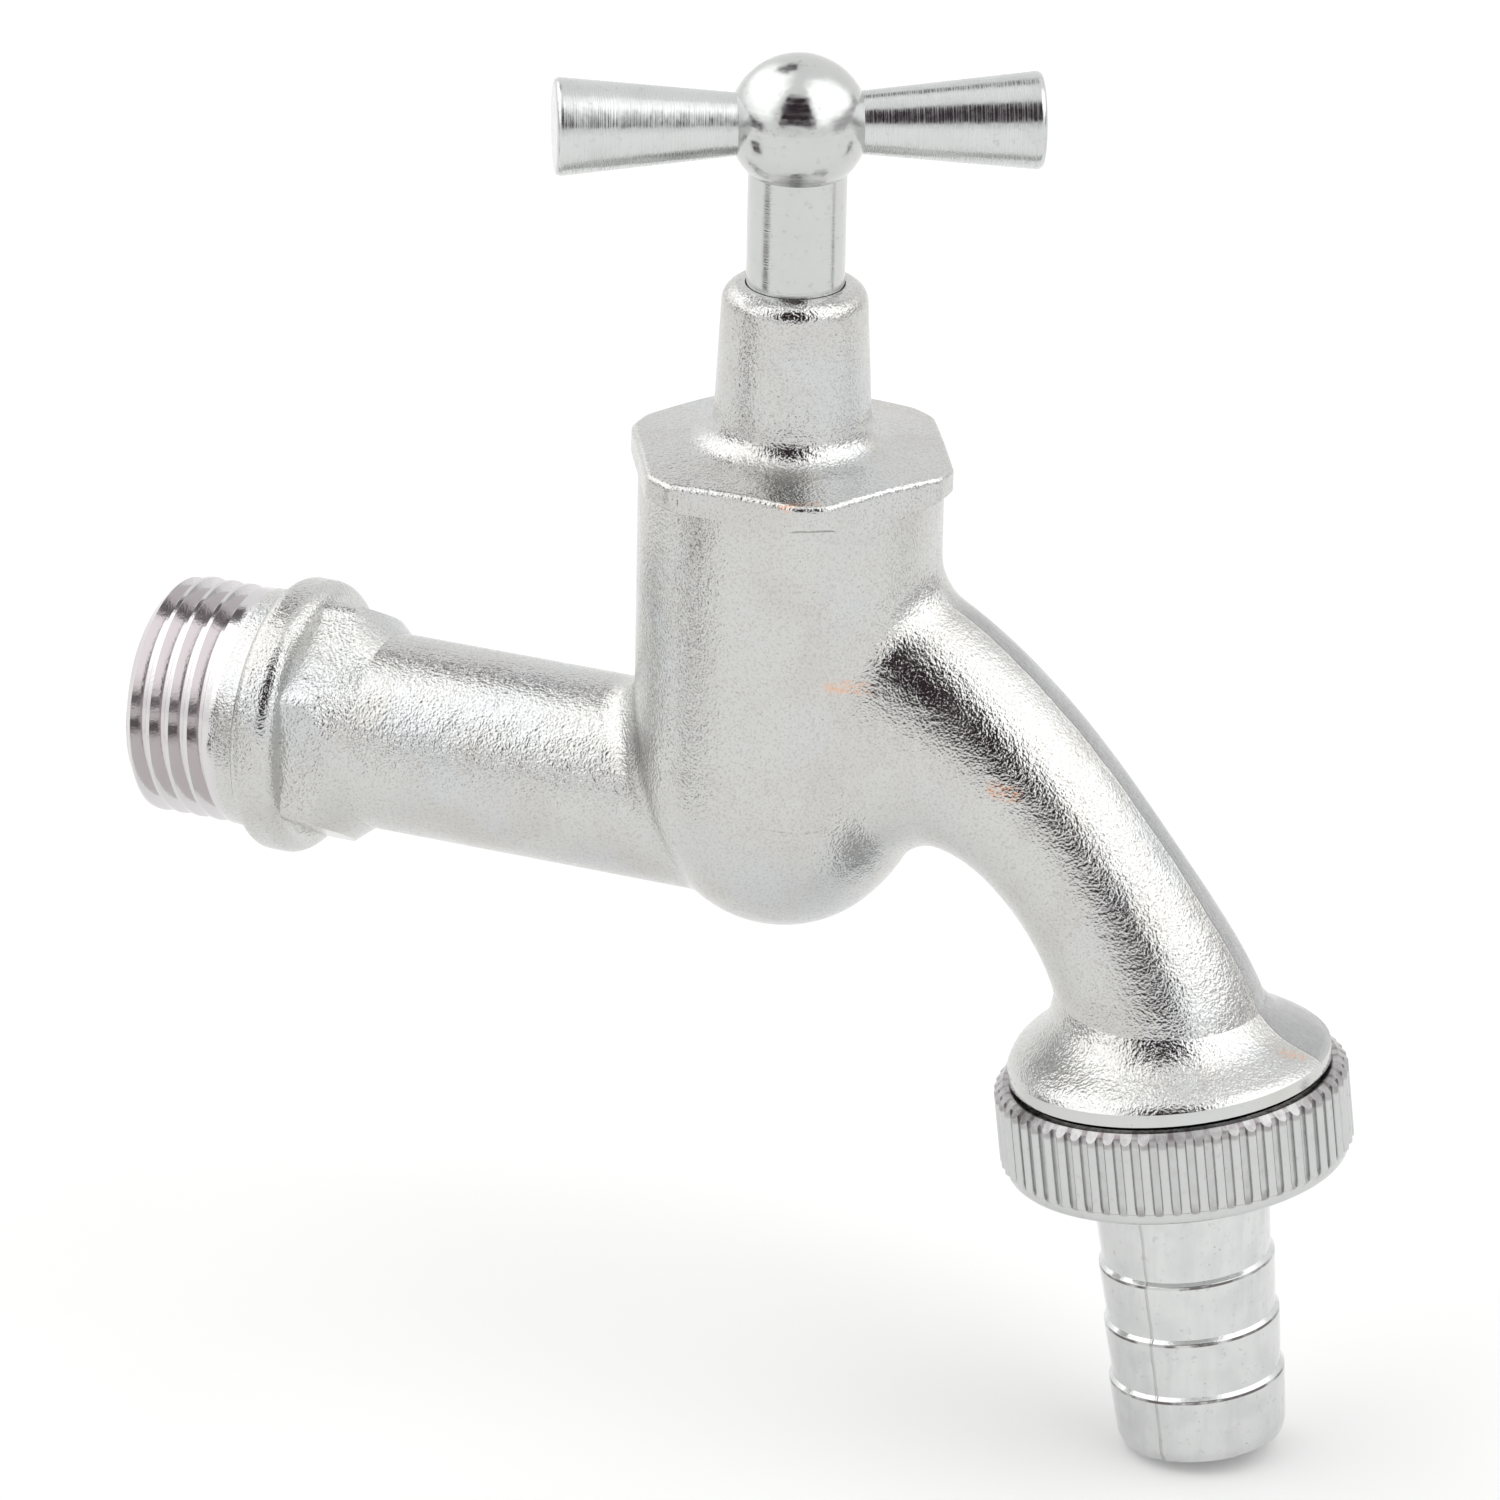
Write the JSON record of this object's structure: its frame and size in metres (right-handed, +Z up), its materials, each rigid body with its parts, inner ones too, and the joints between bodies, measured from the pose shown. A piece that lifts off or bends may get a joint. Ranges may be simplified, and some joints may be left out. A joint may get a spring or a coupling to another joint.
{
  "type": "bib tap",
  "caption": "Bib tap with a threaded wall inlet, screw-down valve with a tee handle, drooping spout and a knurled hose union.",
  "frame": {"origin": "centre of the inlet's end face, on the inlet thread's axis", "axes": "+X along the inlet pipe towards the spout, +Z up along the valve spindle, the body symmetric about Y = 0"},
  "size_m": [0.1102, 0.0302, 0.1195],
  "materials": {
    "cast_plate": "satin plate over a shot-blasted brass casting",
    "bright_plate": "bright plate over turned brass",
    "satin_plate": "satin plate over knurled brass",
    "bare_brass": "turned, unplated",
    "seal_rubber": "smooth black",
    "fibre": "red-brown vulcanised fibre"
  },
  "bodies": {
    "tap": {"body": "cast_plate", "bonnet": "cast_plate", "bonnet_gasket": "fibre"},
    "valve": {"jumper": "bare_brass", "jumper_ring": "bare_brass", "valve_washer": "seal_rubber", "washer_screw": "bare_brass"},
    "headwork": {"spindle": "bright_plate", "spindle_seal_lower": "seal_rubber", "spindle_seal_upper": "seal_rubber", "handle_ball": "bright_plate", "handle_bar_front": "bright_plate", "handle_bar_back": "bright_plate"},
    "union": {"hose_washer": "seal_rubber"},
    "tail": {"hose_tail": "bright_plate"},
    "nut": {"union_nut": "satin_plate"}
  },
  "joints": [
    {"name": "valve_lift", "type": "slide", "parent": "tap", "child": "valve", "axis": [0, 0, 1], "range_m": [0, 0.0045]},
    {"name": "spindle_turn", "type": "hinge", "parent": "valve", "child": "headwork", "pos_m": [0.05826, 0, 0.06175], "axis": [0, 0, 1], "range_deg": [0, 810]},
    {"name": "union_drop", "type": "slide", "parent": "tap", "child": "union", "axis": [0.1253, 0, -0.9921], "range_m": [0, 0.00239]},
    {"name": "tail_swivel", "type": "hinge", "parent": "union", "child": "tail", "pos_m": [0.09534, 0, -0.02583], "axis": [0.1253, 0, -0.9921], "continuous": true},
    {"name": "nut_turn", "type": "hinge", "parent": "union", "child": "nut", "pos_m": [0.0943, 0, -0.01754], "axis": [0.1253, 0, -0.9921], "range_deg": [0, 473.39]}
  ],
  "couplings": [
    {"joint": "spindle_turn", "follows": "valve_lift", "rad_per_m": 3141.6},
    {"joint": "nut_turn", "follows": "union_drop", "rad_per_m": 3463.2}
  ]
}
